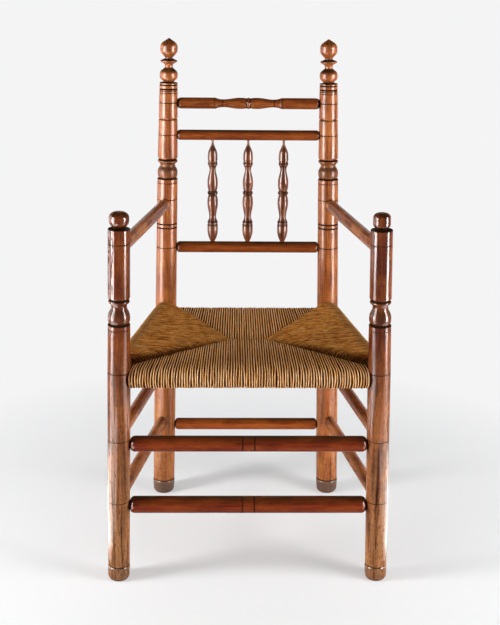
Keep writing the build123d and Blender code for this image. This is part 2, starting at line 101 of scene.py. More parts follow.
def reckon(tree, operation, first, second=0.0):
    """One step of sums on two values."""
    return add_node(tree, "Math", {0: first, 1: second}, operation=operation).outputs[0]


def plus(tree, first, second):
    """Two values added up."""
    return reckon(tree, "ADD", first, second)


def minus(tree, first, second):
    """The first value less the second."""
    return reckon(tree, "SUBTRACT", first, second)


def times(tree, first, second):
    """Two values multiplied."""
    return reckon(tree, "MULTIPLY", first, second)


def larger(tree, first, second):
    """The larger of two values."""
    return reckon(tree, "MAXIMUM", first, second)


def lessen(tree, value, mask, share=1.0):
    """A value that loses up to a share of itself where a mask is full."""
    return times(tree, value, minus(tree, 1.0, times(tree, mask, share)))


def ramp(tree, value, low, high, start=0.0, end=1.0):
    """A value that goes from start to end while another goes from low to high."""
    numbers = {"Value": value, "From Min": low, "From Max": high, "To Min": start, "To Max": end}
    return add_node(tree, "MapRange", numbers, clamp=True).outputs["Result"]


def mix_colors(tree, share, first, second):
    """Blends two colours."""
    return add_node(tree, "Mix", {0: share, 6: first, 7: second}, data_type="RGBA").outputs[2]


def object_place(tree):
    """The place of each point of the surface, in metres."""
    return add_node(tree, "TexCoord").outputs["Object"]


def split(tree, vector):
    """A vector's X, Y and Z."""
    return add_node(tree, "SeparateXYZ", {0: vector}).outputs


def stretch(tree, vector, factors):
    """A vector with each of its parts multiplied by a factor of its own."""
    return add_node(tree, "VectorMath", {0: vector, 1: factors}, operation="MULTIPLY").outputs[0]


def noise(tree, vector, scale, detail=3.0, roughness=0.5, distortion=0.0):
    """Noise from 0 to 1, about its middle."""
    numbers = {"Vector": vector, "Scale": scale, "Detail": detail, "Roughness": roughness}
    return add_node(tree, "TexNoise", {**numbers, "Distortion": distortion}).outputs["Fac"]


def noise_mask(tree, vector, kind, limits):
    """A mask made from a kind of noise, empty at the lower limit and full at the upper one."""
    return ramp(tree, noise(tree, vector, *kind), *limits)


def seen_mask(tree):
    """Full where a surface is looked at, straight, in a reflection or through glass, and empty for the light
    that it throws."""
    path = add_node(tree, "LightPath").outputs
    seen = larger(tree, path["Is Camera Ray"], path["Is Glossy Ray"])
    return larger(tree, seen, path["Is Transmission Ray"])


def new_group(name, inputs, outputs):
    """An empty shader node group with its sockets, and the nodes at its two ends."""
    group = bpy.data.node_groups.new(name, "ShaderNodeTree")
    for label, kind, value in inputs:
        socket = group.interface.new_socket(label, in_out="INPUT", socket_type="NodeSocket" + kind)
        socket.default_value = value
    for label, kind in outputs:
        group.interface.new_socket(label, in_out="OUTPUT", socket_type="NodeSocket" + kind)
    return group, group.nodes.new("NodeGroupInput"), group.nodes.new("NodeGroupOutput")


def new_material(name):
    """An empty material, its tree and its output node."""
    material = bpy.data.materials.new(name)
    material.use_nodes = True
    material.node_tree.nodes.clear()
    return material, material.node_tree, material.node_tree.nodes.new("ShaderNodeOutputMaterial")


COAT_IOR = 1.25  # a thin old varnish, duller than new


def cover(tree, output, color, rough, relief, coat=None):
    """Sets a material's surface. The relief is (strength, depth, height over the surface). Only a coat gives
    it gloss: (strength over the surface, blur)."""
    strength, depth, height = relief
    bump = add_node(tree, "Bump", {"Strength": strength, "Distance": depth, "Height": height})
    values = {
        "Base Color": color,
        "Roughness": rough,
        "Normal": bump.outputs["Normal"],
        "Specular IOR Level": 0.0,
    }
    if coat:
        polish, blur = coat
        values |= {"Coat Weight": polish, "Coat Roughness": blur, "Coat IOR": COAT_IOR}
    shader = add_node(tree, "BsdfPrincipled", values)
    tree.links.new(shader.outputs[0], output.inputs["Surface"])


# Lights: each lamp's place, width, height and watts
CHAIR_MIDDLE = (0, 0, 0.6)
# Two soft boxes light the chair
SOFTBOXES = {
    "softbox_left": ((-1.8, -0.55, 0.80), 0.5, 1.55, 48),
    "softbox_right": ((1.8, -0.80, 0.80), 0.9, 1.55, 48),
}
# Lamps at its sides that only draw the highlights down the posts and sticks
GLEAMS = {
    "gleam_left": ((-1.7, -0.85, 0.78), 1.0, 1.5, 300),
    "gleam_far_left": ((-1.6, 0.40, 0.78), 1.0, 1.5, 40),
    "gleam_right": ((1.7, -0.85, 0.78), 0.55, 1.5, 260),
}
# Lamps on the floor, facing up, that only draw the highlights low on the posts and under the sticks
FLOOR_GLEAMS = {
    "floor_gleam_left": ((-0.95, -0.55), 1.1, 0.9, 66),
    "floor_gleam_right": ((0.95, -0.50), 1.1, 0.8, 32),
    "outer_gleam_left": ((-1.75, -0.80), 0.5, 0.9, 58),
    "outer_gleam_right": ((1.75, -0.85), 0.5, 0.8, 42),
    "foot_gleam_left": ((-0.60, -0.02), 0.5, 0.4, 6),
    "foot_gleam_right": ((0.60, -0.02), 0.5, 0.4, 6),
}
OFF_FLOOR = 0.002  # height of the lamps on the floor


def add_lamp(name, place, target, width, height, watts, only_gloss):
    """A soft lamp that faces a target. One that is only for gloss leaves the rest of the light plain."""
    light = bpy.data.lights.new(name, "AREA")
    light.shape = "RECTANGLE"
    light.size = width
    light.size_y = height
    light.energy = watts
    lamp = bpy.data.objects.new(name, light)
    scene.collection.objects.link(lamp)
    lamp.location = place
    lamp.rotation_mode = "QUATERNION"
    lamp.rotation_quaternion = (Vector(target) - Vector(place)).to_track_quat("-Z", "Y")
    lamp.visible_diffuse = not only_gloss
    lamp.visible_camera = False


for lamps, only_gloss in ((SOFTBOXES, False), (GLEAMS, True)):
    for lamp_name, (place, width, height, watts) in lamps.items():
        add_lamp(lamp_name, place, CHAIR_MIDDLE, width, height, watts, only_gloss)
for lamp_name, (place, width, height, watts) in FLOOR_GLEAMS.items():
    add_lamp(lamp_name, (*place, OFF_FLOOR), (*place, 1), width, height, watts, True)

# Floor and world
PALE = (0.905, 0.905, 0.91, 1)  # the background and the far floor
CEILING = (0.1, 0.1, 0.1, 1)
HORIZON = (0.28, 0.5)  # how steeply up the background starts to darken and is the ceiling
STUDIO_LIGHT = 0.2
FLOOR_SIZE = 160
LIT_FLOOR = (0.8, 0.8, 0.8, 1)  # what the floor throws back on the chair
NEAR_FLOOR = (0.61, 0.61, 0.61, 1)  # what the camera sees of it under the chair
FLOOR_FILL, FILL_STRENGTH = (0.87, 0.905, 0.93, 1), 0.35  # keeps the shadow pale and cool
FLOOR_FADE = (0.42, 1.0)  # distance from the chair's middle over which the floor goes from near to far


def make_world():
    """A dim studio whose background is pale near the horizon and dark overhead."""
    world = bpy.data.worlds.new("studio")
    scene.world = world
    world.use_nodes = True
    tree = world.node_tree
    tree.nodes.clear()
    upward = split(tree, add_node(tree, "TexCoord").outputs["Generated"])["Z"]
    background = mix_colors(tree, ramp(tree, upward, *HORIZON), PALE, CEILING)
    light = add_node(tree, "Background", {"Color": (1, 1, 1, 1), "Strength": STUDIO_LIGHT})
    backdrop = add_node(tree, "Background", {"Color": background, "Strength": 1.0})
    both = add_node(tree, "MixShader", {0: seen_mask(tree), 1: light.outputs[0], 2: backdrop.outputs[0]})
    add_node(tree, "OutputWorld", {"Surface": both.outputs[0]})


def make_floor():
    """A pale floor: it takes the chair's shadow, and further out it is as pale as the background."""
    material, tree, output = new_material("floor")
    lit = add_node(tree, "BsdfDiffuse", {"Color": LIT_FLOOR})
    soft = add_node(tree, "BsdfDiffuse", {"Color": NEAR_FLOOR})
    fill = add_node(tree, "Emission", {"Color": FLOOR_FILL, "Strength": FILL_STRENGTH})
    near = add_node(tree, "AddShader", {0: soft.outputs[0], 1: fill.outputs[0]})
    far = add_node(tree, "Emission", {"Color": PALE, "Strength": 1.0})
    away = add_node(tree, "VectorMath", {0: object_place(tree)}, operation="LENGTH").outputs["Value"]
    fade = ramp(tree, away, *FLOOR_FADE)
    shown = add_node(tree, "MixShader", {0: fade, 1: near.outputs[0], 2: far.outputs[0]})
    both = add_node(tree, "MixShader", {0: seen_mask(tree), 1: lit.outputs[0], 2: shown.outputs[0]})
    tree.links.new(both.outputs[0], output.inputs["Surface"])
    bpy.ops.mesh.primitive_plane_add(size=FLOOR_SIZE)
    floor = bpy.context.object
    floor.name = "floor"
    floor.data.materials.append(material)


make_world()
make_floor()

# Wood: colours that every finish shares
SOOT_AND_SHADE = (0.022, 0.010, 0.005, 1)  # in nicks and cracks, and as dirt and painted shade in the lines and crevices
TOP_SHADE = (0.030, 0.016, 0.006, 1)  # painted shade on the faces that look up
BARE = (0.50, 0.235, 0.095, 1)  # where feet and hands have rubbed through the finish
UMBER = (0.085, 0.040, 0.018, 1)  # on the turnings' dull stretches
FOOT_GREY = (0.10, 0.068, 0.055, 1)

# Grain: features per metre along X, Y and Z
UPRIGHT = (330.0, 330.0, 9.0)
CROSSWISE = (9.0, 330.0, 330.0)
TO_THE_BACK = (260.0, 5.0, 260.0)
LATHE = (12.0, 12.0, 640.0)  # the fine rings that the lathe leaves

# Kinds of noise: scale, detail, roughness and distortion
STREAKS = (1.0, 5.0, 0.62, 0.3)
BANDS = (0.21, 3.0, 0.5, 0.6)
# Kinds of noise, with the limits of the mask made from each
PORES = (3.3, 2.0), (0.56, 0.70)
RINGS = (1.0, 3.0, 0.6), (0.50, 0.64)
PATCHES = (1.0, 4.0, 0.6), (0.42, 0.62)
MARKS = (1.7, 4.0, 0.65, 0.5), (0.54, 0.65)
NICKS = (0.55, 6.0, 0.72, 0.8), (0.575, 0.64)
RUBBED_PLACES = (0.4, 4.0, 0.65), (0.36, 0.58)
PATCH_SPREAD, PATCH_GRAIN = 14.0, (0.08, 0.08, 0.08)  # patches are rounder than the grain
MARK_SPREAD = (50.0, 50.0, 50.0)
CREVICE_REACH = 0.006
TOP_SHADE_SLOPE = 0.7  # from the steepest face that takes painted top shade to one that is full of it


def make_wood_group():
    """Polished old wood: streaks and pores along the grain, worn patches and nicks, dirt and painted shade in
    the crevices, and painted shade on the faces that look up.
    """
    group, given, made = new_group(
        "polished_old_wood",
        [
            ("Place", "Vector", (0, 0, 0)),
            ("Grain", "Vector", (1, 1, 1)),
            ("Deep", "Color", (0.1, 0.03, 0.01, 1)),
            ("Middle", "Color", (0.3, 0.1, 0.03, 1)),
            ("Light", "Color", (0.5, 0.2, 0.07, 1)),
            ("Bare", "Color", BARE),
            ("Soot And Shade", "Color", SOOT_AND_SHADE),
            ("Top Shade Color", "Color", TOP_SHADE),
            ("Wear", "Float", 0.3),
            ("Rubbed", "Float", 0.0),
            ("Top Shade", "Float", 1.0),
            ("Upright", "Float", 0.25),
            ("Turned", "Float", 0.0),
        ],
        [("Color", "Color"), ("Roughness", "Float"), ("Height", "Float"), ("Polish", "Float")],
    )
    give = given.outputs
    place, wear = give["Place"], give["Wear"]

    # Where each thing is
    along = stretch(group, place, give["Grain"])
    streaks = noise(group, along, *STREAKS)
    bands = noise(group, along, *BANDS)
    pores = noise_mask(group, along, *PORES)
    turned = times(group, noise_mask(group, stretch(group, place, LATHE), *RINGS), give["Turned"])
    spread = add_node(group, "VectorMath", {0: place, "Scale": PATCH_SPREAD}, operation="SCALE").outputs[0]
    spread = add_node(group, "VectorMath", {0: along, 1: PATCH_GRAIN, 2: spread}, operation="MULTIPLY_ADD")
    patches = noise_mask(group, spread.outputs[0], *PATCHES)
    short = add_node(group, "VectorMath", {0: place, 1: MARK_SPREAD, 2: along}, operation="MULTIPLY_ADD")
    marks = noise_mask(group, short.outputs[0], *MARKS)
    marks = times(group, marks, ramp(group, wear, 0.0, 1.0, 0.15, 0.9))
    nicks = larger(group, times(group, noise_mask(group, along, *NICKS), wear), marks)
    # Dirt and painted shade: the colour darkens where ambient occlusion finds crevices and joints.
    open_sky = add_node(group, "AmbientOcclusion", {"Distance": CREVICE_REACH}, samples=8).outputs["AO"]
    dirt_and_shade = ramp(group, open_sky, 0.35, 0.85, 1.0, 0.0)
    worn = times(group, patches, ramp(group, wear, 0.0, 1.0, 0.25, 0.95))
    bare = times(group, noise_mask(group, along, *RUBBED_PLACES), give["Rubbed"])
    # Painted shade: the faces that look up are darkened, a little less in the worn patches.
    facing = split(group, add_node(group, "TexCoord").outputs["Normal"])["Z"]
    level = ramp(group, facing, give["Upright"], plus(group, give["Upright"], TOP_SHADE_SLOPE))
    top_shade_mask = times(group, times(group, level, ramp(group, patches, 0.0, 1.0, 0.9, 0.7)), give["Top Shade"])
    top_shade_mask = reckon(group, "MINIMUM", top_shade_mask, 1.0)

    # Colour: the grain's own, and over it what age has added and the painted shade, the topmost last
    tone = plus(group, times(group, streaks, 0.55), times(group, bands, 0.45))
    color = mix_colors(group, ramp(group, tone, 0.38, 0.58), give["Deep"], give["Middle"])
    for mask, over in (
        (worn, give["Light"]),
        (bare, give["Bare"]),
        (times(group, pores, 0.6), give["Deep"]),
        (turned, give["Deep"]),
        (nicks, give["Soot And Shade"]),
        (top_shade_mask, give["Top Shade Color"]),
        (dirt_and_shade, give["Soot And Shade"]),
    ):
        color = mix_colors(group, mask, color, over)

    # Roughness, height and polish
    rough = ramp(group, streaks, 0.3, 0.7, 0.30, 0.45)
    for mask in (dirt_and_shade, nicks):
        rough = plus(group, rough, times(group, mask, 0.3))
    height = minus(group, times(group, streaks, 0.35), times(group, pores, 0.25))
    height = minus(group, height, nicks)
    polish = ramp(group, streaks, 0.32, 0.52, 0.45, 1.0)
    for mask, share in ((dirt_and_shade, 0.95), (nicks, 0.95), (bare, 0.5), (worn, 0.2), (top_shade_mask, 0.6)):
        polish = lessen(group, polish, mask, share)
    for label, value in (("Color", color), ("Roughness", rough), ("Height", height), ("Polish", polish)):
        group.links.new(value, made.inputs[label])
    return group


wood_group = make_wood_group()

LINE_EDGE = (0.7, 1.5)  # where a line starts to fade and is gone, in half widths from its middle
# The left front post's cracks, under its knob: place across it and half width of each
CRACKS = ((-0.0190, 0.0012), (-0.0118, 0.0010))
CRACK_START, CRACK_END = (0.607, 0.620), (0.738, 0.728)  # the heights over which they fade in and out
CRACK_STRETCH, CRACK_WANDER = (5.0, 5.0, 26.0), 0.020
CRACK_PATH = (1.0, 5.0, 0.65)
CRACK_BREAKS = (3.1, 3.0, 0.6)
FRONT_POST_X, POST_LEAN = 0.2635, 0.02234  # at the floor, and inwards for each metre of height
SIDE_SPLAY, SIDE_RISE = 0.187, 0.018  # of the arms and side stretchers, for each metre towards the back


def line_mask(tree, along, lines):
    """Dark lines round a turning: each is its place along the piece and its half width."""
    nearest = None
    for at, half_width in lines:
        away = reckon(tree, "ABSOLUTE", minus(tree, along, at))
        away = reckon(tree, "DIVIDE", away, half_width)
        nearest = away if nearest is None else reckon(tree, "MINIMUM", nearest, away)
    return ramp(tree, nearest, *LINE_EDGE, 1.0, 0.0)


def crack_mask(tree, place):
    """Two long dark cracks down the outer side of the left front post, under its knob."""
    x, _, height = split(tree, place)
    across = minus(tree, x, minus(tree, times(tree, height, POST_LEAN), FRONT_POST_X))
    stretched = stretch(tree, place, CRACK_STRETCH)
    wander = minus(tree, noise(tree, stretched, *CRACK_PATH), 0.5)
    crack = line_mask(tree, plus(tree, across, times(tree, wander, CRACK_WANDER)), CRACKS)
    crack = times(tree, crack, ramp(tree, noise(tree, stretched, *CRACK_BREAKS), 0.40, 0.47, 0.0, 0.9))
    crack = times(tree, crack, ramp(tree, height, *CRACK_START))
    return times(tree, crack, ramp(tree, height, *CRACK_END))


def along_sides(tree, place):
    """Places turned so that Y runs along the chair's side sticks, which splay to the front and rise."""
    x, y, z = split(tree, place)
    outward = plus(tree, reckon(tree, "ABSOLUTE", x), times(tree, y, SIDE_SPLAY))
    upward = minus(tree, z, times(tree, y, SIDE_RISE))
    return add_node(tree, "CombineXYZ", {"X": outward, "Y": y, "Z": upward}).outputs[0]


KNEE_TO_FLOOR = (0.52, 0.10)  # the heights over which shoes rub more and more
FOOT_BAND = (0.034, 0.028)  # where a post starts to turn grey, and is grey
SHOULDER_TOP, SHOULDER_BOTTOM = (0.0312, 0.0300), (0.0225, 0.0245)  # the foot's polished shoulder
TIP_FADE, BULB_FADE = 0.008, 0.004  # the heights over which the tip's lighter painted top shade and a dull stretch set in
WOOD_RELIEF = (0.6, 0.0006)  # strength and depth


def make_wood(
    name,
    grain,
    deep,
    middle,
    light,
    wear,
    foot_wear=0.0,  # more wear from knee height down to the floor
    shine=1.0,
    blur=0.15,
    lines=(),  # dark lines: the place and half width of each
    axis="Z",  # what the lines' places are counted along, from the middle
    top_shade=1.0,
    upright=0.25,  # how upright a face may be and still take the painted top shade
    turned=0.0,  # how clear the lathe's rings are
    foot=0.0,  # how grey the foot's end is
    bulb=None,  # a dull stretch: its lowest point, its highest and how dull it is
    tip=None,  # the height above which the painted top shade is halved
    cracks=False,
    sideways=False,  # for the sticks that run from the front to the back
):
    """One wood finish: the shared wood with its own values, and over it what only some pieces have."""
    material, tree, output = new_material(name)
    place = object_place(tree)
    height = split(tree, place)["Z"]
    values = {
        "Place": along_sides(tree, place) if sideways else place,
        "Grain": grain,
        "Deep": (*deep, 1),
        "Middle": (*middle, 1),
        "Light": (*light, 1),
        "Wear": wear,
        "Top Shade": top_shade,
        "Upright": upright,
        "Turned": turned,
    }
    if foot_wear:
        values["Rubbed"] = ramp(tree, height, *KNEE_TO_FLOOR, 0.0, foot_wear)
        values["Wear"] = plus(tree, values["Rubbed"], wear)
    if tip:
        values["Top Shade"] = ramp(tree, height, tip, tip + TIP_FADE, top_shade, 0.5 * top_shade)
    wood = add_node(tree, "Group", values, node_tree=wood_group).outputs
    color, rough = wood["Color"], wood["Roughness"]
    polish = times(tree, wood["Polish"], shine)
    # Dark lines in the grooves and at the sticks' ends: part dirt, part painted shade.
    if lines:
        line = line_mask(tree, reckon(tree, "ABSOLUTE", split(tree, place)[axis]), lines)
        color = mix_colors(tree, times(tree, line, 0.93), color, SOOT_AND_SHADE)
        rough = plus(tree, rough, times(tree, line, 0.6))
        polish = lessen(tree, polish, line)
    if bulb:
        low, high, dullness = bulb
        dull = ramp(tree, height, low, low + BULB_FADE, 0.0, dullness)
        dull = times(tree, dull, ramp(tree, height, high, high - BULB_FADE))
        color = mix_colors(tree, dull, color, UMBER)
        polish = lessen(tree, polish, dull, 0.6)
    if cracks:
        crack = crack_mask(tree, place)
        color = mix_colors(tree, crack, color, SOOT_AND_SHADE)
        polish = lessen(tree, polish, crack)
    if foot:
        color = mix_colors(tree, ramp(tree, height, *FOOT_BAND, 0.0, foot), color, FOOT_GREY)
        shoulder = times(tree, ramp(tree, height, *SHOULDER_TOP), ramp(tree, height, *SHOULDER_BOTTOM))
        polish = larger(tree, polish, shoulder)
    cover(tree, output, color, rough, (*WOOD_RELIEF, wood["Height"]), (polish, blur))
    return material


# Turned and scribed lines, darkened with dirt and painted shade. Posts and spindles: height and half width of
# each
FRONT_LINES = (
    (0.0318, 0.0010), (0.1750, 0.0007), (0.3085, 0.0007), (0.4505, 0.0008), (0.5388, 0.0006),
    (0.5498, 0.0024), (0.5989, 0.0021), (0.7087, 0.0007), (0.7395, 0.0030),
)
BACK_LINES = (
    (0.0333, 0.0010), (0.6023, 0.0009), (0.6478, 0.0015), (0.6568, 0.0015), (0.7117, 0.0009),
    (0.7488, 0.0006), (0.7596, 0.0020), (0.7949, 0.0009), (0.8015, 0.0016), (0.8558, 0.0009),
    (0.9253, 0.0009), (0.9463, 0.0006), (0.9505, 0.0006), (0.9548, 0.0018), (0.9638, 0.0013),
    (0.9693, 0.0014),
)
SPINDLE_LINES = ((0.7921, 0.0011), (0.7862, 0.0008), (0.7252, 0.0012), (0.6602, 0.0012), (0.6523, 0.0012))
# Stretchers and crest rail: distance from the middle and half width
STRETCHER_LINES = ((0.0120, 0.0013), (0.2345, 0.0008), (0.2400, 0.0024))
CREST_LINES = ((0.0043, 0.0012), (0.0560, 0.0010), (0.0730, 0.0009), (0.1530, 0.0030))

# Each finish: its grain, its deep, middle and light colour, its wear, and what else it has
front_posts = make_wood(
    "front_posts", UPRIGHT, (0.040, 0.007, 0.003), (0.155, 0.026, 0.006), (0.36, 0.095, 0.020), 0.42,
    foot_wear=0.80, blur=0.13, lines=FRONT_LINES, top_shade=1.2, upright=0.12, turned=0.2, foot=0.3,
    bulb=(0.550, 0.597, 0.25), tip=0.755, cracks=True,
)
back_posts = make_wood(
    "back_posts", UPRIGHT, (0.11, 0.024, 0.006), (0.42, 0.108, 0.023), (0.60, 0.21, 0.048), 0.22,
    foot_wear=0.35, shine=0.95, blur=0.28, lines=BACK_LINES, top_shade=1.2, upright=0.08, turned=0.4, foot=0.85,
    bulb=(0.760, 0.795, 0.5), tip=1.035,
)
rails = make_wood("rails", CROSSWISE, (0.09, 0.014, 0.003), (0.27, 0.053, 0.007), (0.38, 0.10, 0.015), 0.12)
back_stick = make_wood(
    "back_stick", CROSSWISE, (0.17, 0.027, 0.004), (0.46, 0.094, 0.011), (0.58, 0.16, 0.02), 0.12,
)
crest = make_wood(
    "crest", CROSSWISE, (0.09, 0.016, 0.004), (0.30, 0.066, 0.010), (0.44, 0.13, 0.022), 0.12,
    lines=CREST_LINES, axis="X", top_shade=0.35,
)
front_sticks = make_wood(
    "front_sticks", CROSSWISE, (0.090, 0.009, 0.002), (0.24, 0.029, 0.004), (0.36, 0.075, 0.010), 0.2,
    lines=STRETCHER_LINES, axis="X",
)
side_sticks = make_wood(
    "side_sticks", TO_THE_BACK, (0.05, 0.011, 0.004), (0.36, 0.088, 0.020), (0.62, 0.22, 0.065), 0.6,
    top_shade=0.2, sideways=True,
)
spindles = make_wood(
    "spindles", UPRIGHT, (0.050, 0.014, 0.007), (0.20, 0.050, 0.017), (0.34, 0.112, 0.041), 0.1,
    blur=0.16, lines=SPINDLE_LINES, top_shade=1.2, upright=0.1, turned=0.25,
)
raw_rails = make_wood(
    "raw_rails", CROSSWISE, (0.22, 0.11, 0.05), (0.42, 0.25, 0.12), (0.5, 0.32, 0.17), 0.1,
    shine=0.1,
)

DRY_BLADES, BLADE_LIMITS = (160.0, 4.0, 0.6, 1.5), (0.35, 0.65)
STUFFING_DARK, STUFFING_LIGHT = (0.025, 0.009, 0.003, 1), (0.12, 0.052, 0.017, 1)
STUFFING_ROUGHNESS, STUFFING_RELIEF = 0.8, (0.8, 0.002)


def make_stuffing():
    """Dry rush, packed in the dark of the seat's pockets."""
    material, tree, output = new_material("stuffing")
    blades = noise(tree, object_place(tree), *DRY_BLADES)
    color = mix_colors(tree, ramp(tree, blades, *BLADE_LIMITS), STUFFING_DARK, STUFFING_LIGHT)
    cover(tree, output, color, STUFFING_ROUGHNESS, (*STUFFING_RELIEF, blades))
    return material


stuffing = make_stuffing()
finish_of = {
    "front_post": front_posts,
    "back_post": back_posts,
    "arm": side_sticks,
    "side_stretcher": side_sticks,
    "spindle": spindles,
    "seat_rail": raw_rails,
    "seat_stuffing": stuffing,
    "crest_rail": crest,
    "upper_spindle_rail": rails,
    "lower_spindle_rail": rails,
    "front_stretcher": front_sticks,
    "back_stretcher": back_stick,
}
for node_name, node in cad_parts.items():
    for start, finish in finish_of.items():
        if node_name.startswith(start):
            node.data.materials.clear()
            node.data.materials.append(finish)

# Rush seat: one strand of twisted rush, laid side by side from each rail to the seams, over and under


def middle_of(node_name):
    """The middle of a CAD node's box."""
    low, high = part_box(node_name)
    return (low + high) / 2


front_rail, back_rail = middle_of("seat_rail_front"), middle_of("seat_rail_back")
FRONT_CORNER, BACK_CORNER = 0.25374, 0.18474  # half the distance between the posts at the seat
FRONT_SIDE_HEIGHT, BACK_SIDE_HEIGHT = 0.453, 0.457  # the side rails' ends
SIDE_SLOPE = (FRONT_CORNER - BACK_CORNER) / (back_rail.y - front_rail.y)
SEAM_END = 0.038  # half the length of the seam between the front and back gores
SEAM_TOP, SEAM_BOTTOM = 0.4475, 0.4329
RAIL_RADIUS = 0.0148
STRAND_RADIUS = 0.00245
STRAND_PITCH = 0.00497
ROLL_GAP = 0.0002  # between a rail and its strands
POST_ROOM = 0.0246  # from a post's centre to the middle of the first strand
seam_y = (front_rail.y + back_rail.y) / 2
roll_radius = RAIL_RADIUS + STRAND_RADIUS + ROLL_GAP

front_left, front_right = Vector((-FRONT_CORNER, front_rail.y)), Vector((FRONT_CORNER, front_rail.y))
back_left, back_right = Vector((-BACK_CORNER, back_rail.y)), Vector((BACK_CORNER, back_rail.y))
seam_left, seam_right = Vector((-SEAM_END, seam_y)), Vector((SEAM_END, seam_y))

PARALLEL, SLACK = 1e-9, 1e-6


def reach(start, direction, seam):
    """How far it is from a point on a rail, along a strand, to the seam."""
    found = []
    for first, second in zip(seam, seam[1:]):
        edge = second - first
        across = direction.x * edge.y - direction.y * edge.x
        if abs(across) < PARALLEL:
            continue
        gap = first - start
        length = (gap.x * edge.y - gap.y * edge.x) / across
        share = (gap.x * direction.y - gap.y * direction.x) / across
        if -SLACK <= share <= 1 + SLACK and length > 0:
            found.append(length)
    return min(found)


def across_rail_strands(rail, half, sign):
    """Starts and directions of the front or back gore's strands, which fan with the side rails."""
    count = round(2 * (half - POST_ROOM) / STRAND_PITCH) + 1
    for index in range(count):
        x = (2 * index / (count - 1) - 1) * (half - POST_ROOM)
        slope = -math.copysign(SIDE_SLOPE * (x / half) ** 2, x)
        yield Vector((x, rail.y)), Vector((slope, 1)).normalized() * sign, rail.z


def side_rail_strands(side):
    """Starts and directions of a side gore's strands, which run straight across the seat."""
    low, high = front_rail.y + POST_ROOM, back_rail.y - POST_ROOM
    count = round((high - low) / STRAND_PITCH) + 1
    for index in range(count):
        y = low + index / (count - 1) * (high - low)
        share = (y - front_rail.y) / (back_rail.y - front_rail.y)
        x = side * (FRONT_CORNER + (BACK_CORNER - FRONT_CORNER) * share)
        height = FRONT_SIDE_HEIGHT + (BACK_SIDE_HEIGHT - FRONT_SIDE_HEIGHT) * share
        yield Vector((x, y)), Vector((-side, 0)), height


ROLL_STEP = 30  # degrees between a strand's points round the roll
POINT_STEP = 0.028  # between its points on the flat, about
SEAM_ROOM = 0.008  # from the seam to the nearest point on the flat


def strand_section(length, depth, height, crown, dip):
    """A strand's points as (distance from the rail, height, roll share, seam share), from the top seam round
    to the bottom one."""
    steps = max(1, round(length / POINT_STEP))
    # At the seam: how far past it, how far down, and the seam share
    at_seam = ((0.0035, dip, 1), (0.0012, 0.4 * dip, 0.6), (-0.0024, 0.0006, 0.15))

    def layer(side, ridge):
        """The top layer's points or the bottom one's, from the seam to the roll."""
        start = height + side * roll_radius

        def surface(distance):
            share = distance / depth
            return start + (ridge - start) * share + side * crown * math.sin(math.pi * min(share, 1))

        edge = surface(length)
        points = [(length + past, edge - side * drop, 0, seam) for past, drop, seam in at_seam]
        for step in range(steps - 1, 0, -1):
            distance = length * step / steps
            if distance < length - SEAM_ROOM:
                points.append((distance, surface(distance), 0, 0))
        return points

    roll = []
    for degrees in range(90, 271, ROLL_STEP):
        angle = math.radians(degrees)
        roll.append((roll_radius * math.cos(angle), height + roll_radius * math.sin(angle), 1, 0))
    return layer(1, SEAM_TOP) + roll + layer(-1, SEAM_BOTTOM)[::-1]


RINGS_PER_POINT = 3
STRAND_SIDES = 8
FULL_TURN = 6.28
# How the strands differ: the range, or the spread, of each thing
PACE = (0.5, 1.1)  # of the sway, in radians from one point to the next
SWAY = (0.00010, 0.00035)
ROLL_SWAY = 1.2  # how much more they sway on the roll
WANDER = 0.00008  # sideways, from point to point
LIFT = 0.00022  # of a whole strand
THICKNESS = (0.95, 1.06)
UNEVEN = 0.03  # of the thickness, from point to point
TONE, TONE_SPREAD = 0.5, 0.13
FIBRE_START = (0, 50)
FIBRE_PACE, FIBRE_TURN = 0.35, 1.1  # travel from ring to ring, and radians for each unit of it


def make_gore(name, strands, seam, depth, crown, lean, dip, seed):
    """The strands of one gore as one piece, each with its own sway, lift, thickness and tone."""
    rng = random.Random(seed)
    curve = bpy.data.curves.new(name, "CURVE")
    curve.dimensions = "3D"
    curve.bevel_depth = STRAND_RADIUS
    curve.bevel_resolution = 2
    curve.resolution_u = RINGS_PER_POINT
    shares = []
    for start, direction, height in strands:
        length = reach(start, direction, seam)
        section = strand_section(length, depth, height, crown, dip)
        aside = Vector((-direction.y, direction.x))
        spline = curve.splines.new("BEZIER")
        spline.bezier_points.add(len(section) - 1)
        phase, pace = rng.uniform(0, FULL_TURN), rng.uniform(*PACE)
        sway = rng.uniform(*SWAY)
        lift = rng.gauss(0, LIFT)
        thickness = rng.uniform(*THICKNESS)
        tone = rng.gauss(TONE, TONE_SPREAD)
        for index, (distance, level, roll, seam_share) in enumerate(section):
            shift = sway * (1 + ROLL_SWAY * roll) * math.sin(phase + pace * index) + rng.gauss(0, WANDER)
            spot = start + direction * distance + aside * shift
            point = spline.bezier_points[index]
            point.co = (spot.x, spot.y - lean * seam_share * (0.5 + 0.5 * seam_share), level + lift)
            point.handle_left_type = point.handle_right_type = "AUTO"
            point.radius = thickness * (1 + rng.gauss(0, UNEVEN))
        shares.append((tone, section))
    shape = bpy.data.objects.new(name, curve)
    scene.collection.objects.link(shape)
    bpy.context.view_layer.update()
    mesh = bpy.data.meshes.new_from_object(shape.evaluated_get(bpy.context.evaluated_depsgraph_get()))
    bpy.data.objects.remove(shape)
    piece = bpy.data.objects.new(name, mesh)
    scene.collection.objects.link(piece)
    write_shares(mesh, shares, rng, name.endswith(("left", "right")))
    close_ends(mesh)
    return piece


